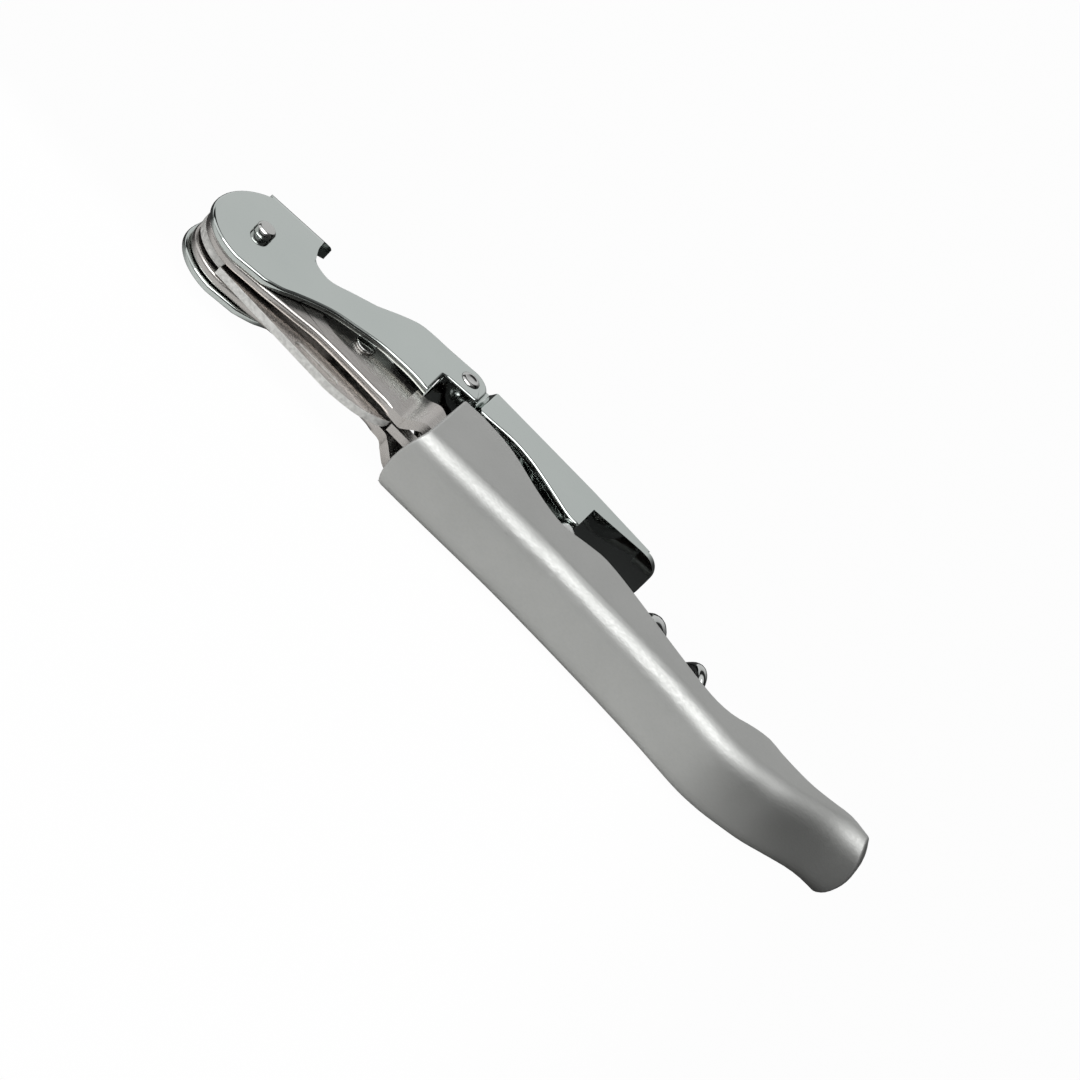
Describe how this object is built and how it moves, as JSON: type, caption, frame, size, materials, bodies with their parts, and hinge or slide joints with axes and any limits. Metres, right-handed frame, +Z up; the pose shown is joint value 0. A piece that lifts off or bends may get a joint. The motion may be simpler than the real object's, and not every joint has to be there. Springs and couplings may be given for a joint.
{
  "type": "waiter's corkscrew",
  "caption": "Folded pocket corkscrew with a two-step boot lever, a pivoting worm, a foil knife and a curved metal handle shell.",
  "frame": {"origin": "middle of the folded tool's box, on the face it rests on", "axes": "+X from the rounded head to the tail of the handle, +Y from the spine to the belly, +Z up along the rivets"},
  "size_m": [0.12, 0.025, 0.0114],
  "materials": {
    "shell": "satin metallic, fine grained",
    "frame": "polished, edges rounded",
    "rivets": "bright upset steel",
    "shims": "plain punched steel",
    "blade": "ground steel with a coarse back",
    "worm": "plated wire",
    "lever": "mirror plated sheet"
  },
  "bodies": {
    "handle": {"handle_shell": "shell", "frame": "frame", "head_rivet": "rivets", "worm_pin": "rivets", "knife_shim_near": "shims", "knife_shim_far": "shims"},
    "lever": {"lever_arm": "lever", "joint_rivet": "rivets"},
    "foot": {"foot_arm": "lever"},
    "worm_screw": {"worm": "worm"},
    "knife": {"knife_blade": "blade"}
  },
  "joints": [
    {"name": "lever_pivot", "type": "hinge", "parent": "handle", "child": "lever", "pos_m": [-0.0527, -0.002, 0.0057], "axis": [0, 0, 1], "range_deg": [0, 115]},
    {"name": "lever_joint", "type": "hinge", "parent": "lever", "child": "foot", "pos_m": [-0.0206, 0.0097, 0.0057], "axis": [0, 0, 1], "range_deg": [0, 95]},
    {"name": "worm_pivot", "type": "hinge", "parent": "handle", "child": "worm_screw", "pos_m": [-0.0332, -0.0005, 0.0057], "axis": [0, 0, 1], "range_deg": [0, 90]},
    {"name": "knife_pivot", "type": "hinge", "parent": "handle", "child": "knife", "pos_m": [-0.0527, -0.002, 0.0057], "axis": [0, 0, 1], "range_deg": [-180, 0]}
  ],
  "couplings": [
    {"joint": "worm_pivot", "follows": "lever_pivot", "ratio": 0.78}
  ]
}
